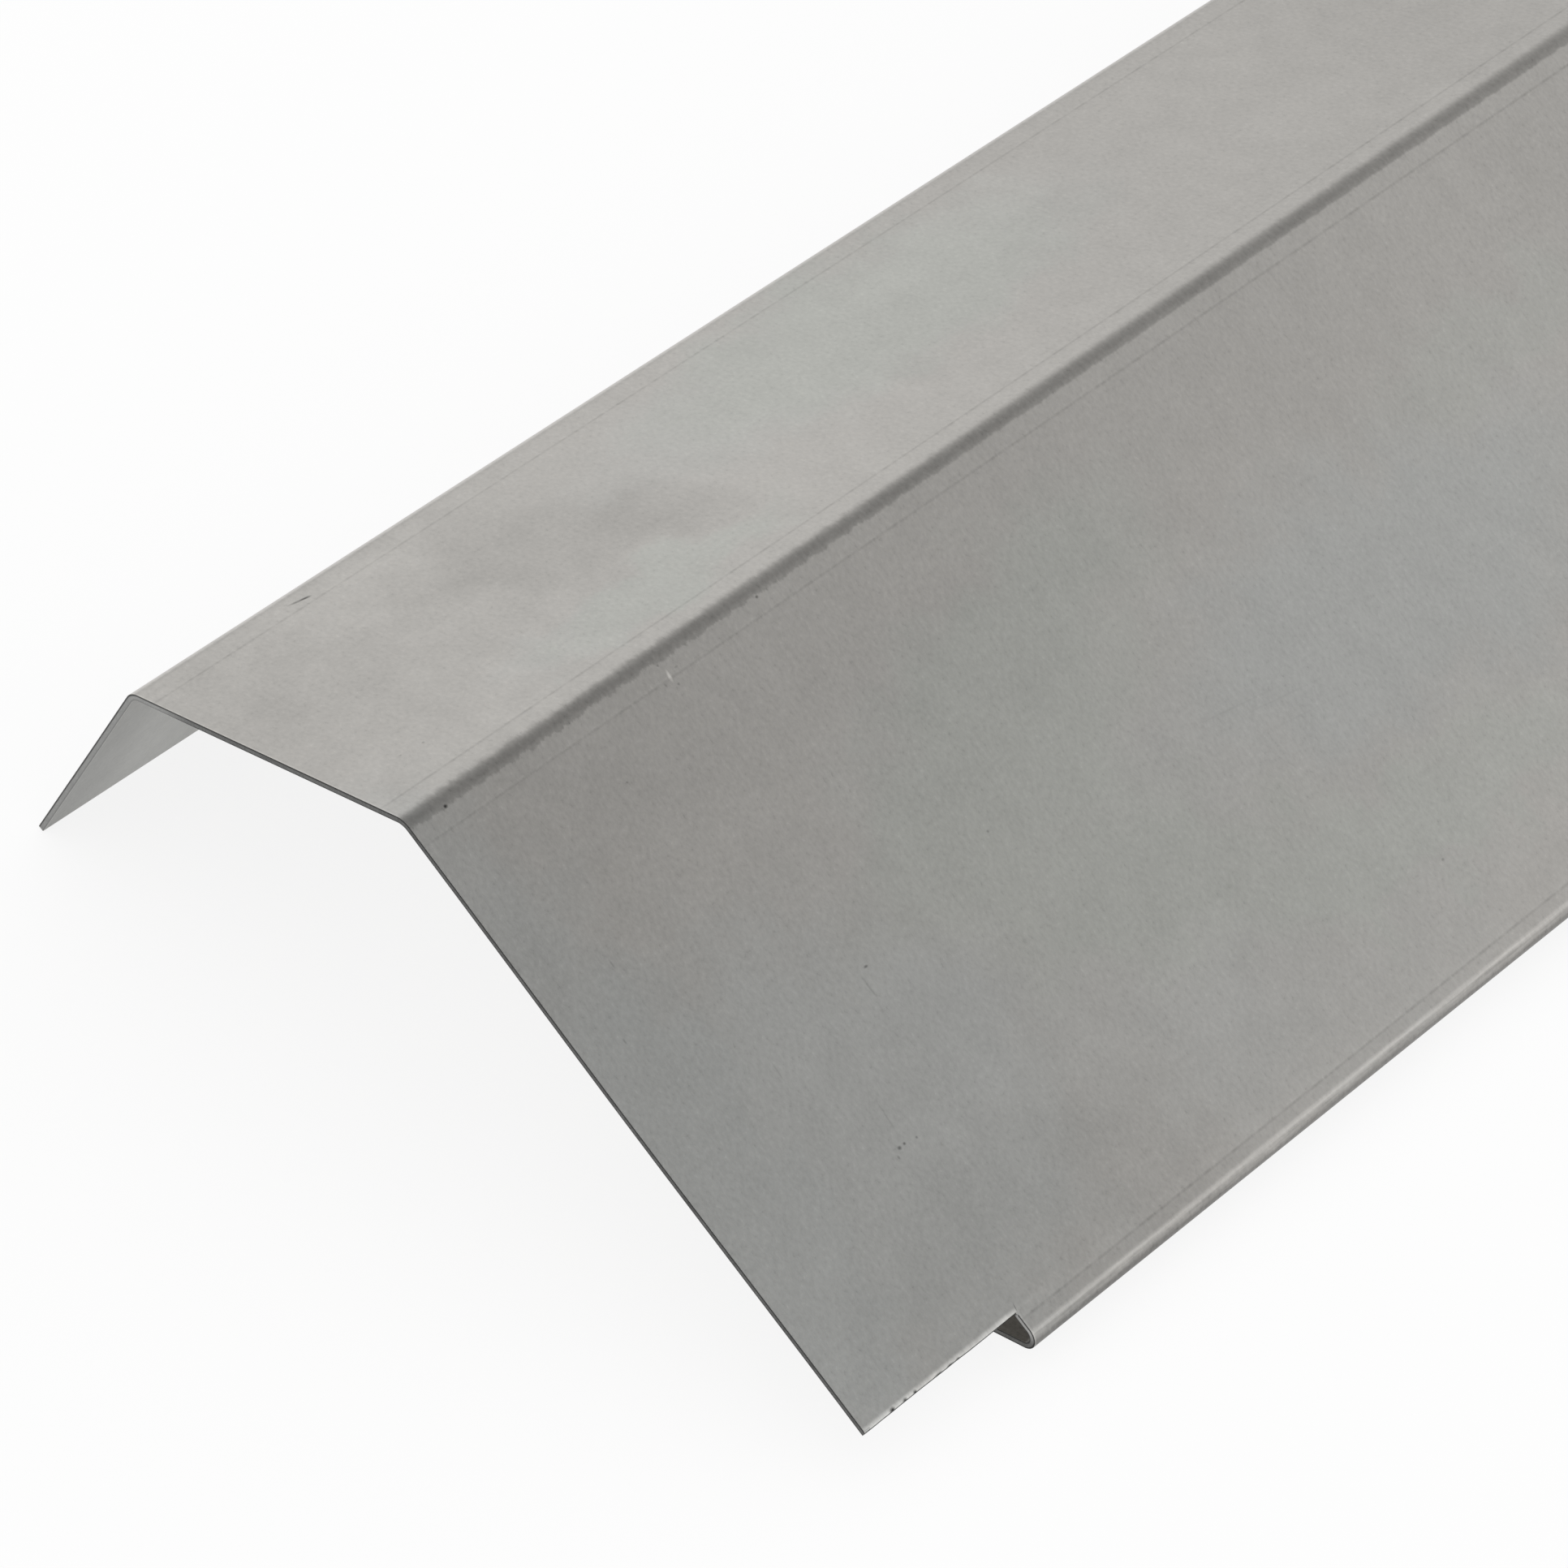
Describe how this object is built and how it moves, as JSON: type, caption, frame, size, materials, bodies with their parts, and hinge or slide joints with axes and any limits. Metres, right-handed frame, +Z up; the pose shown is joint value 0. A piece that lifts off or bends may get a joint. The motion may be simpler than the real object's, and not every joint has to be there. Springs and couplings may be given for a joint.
{
  "type": "fascia cap",
  "caption": "Folded sheet aluminium fascia cap: back leg, top flange, sloping face and drip return, with a lap notch at one end.",
  "frame": {"origin": "middle of the footprint, on the level surface that the cap stands on: centre of the box in X and Y, its bottom in Z", "axes": "+X along the length, away from the notched end; the sloping face and the drip return are on the -Y side and the back leg on the +Y side; +Z up"},
  "size_m": [1, 0.196, 0.0676],
  "materials": {
    "mill_sheet": "mill finish, matt, with fine rolling grain across the length"
  },
  "bodies": {
    "root": {"cap_sheet": "mill_sheet"}
  },
  "joints": []
}
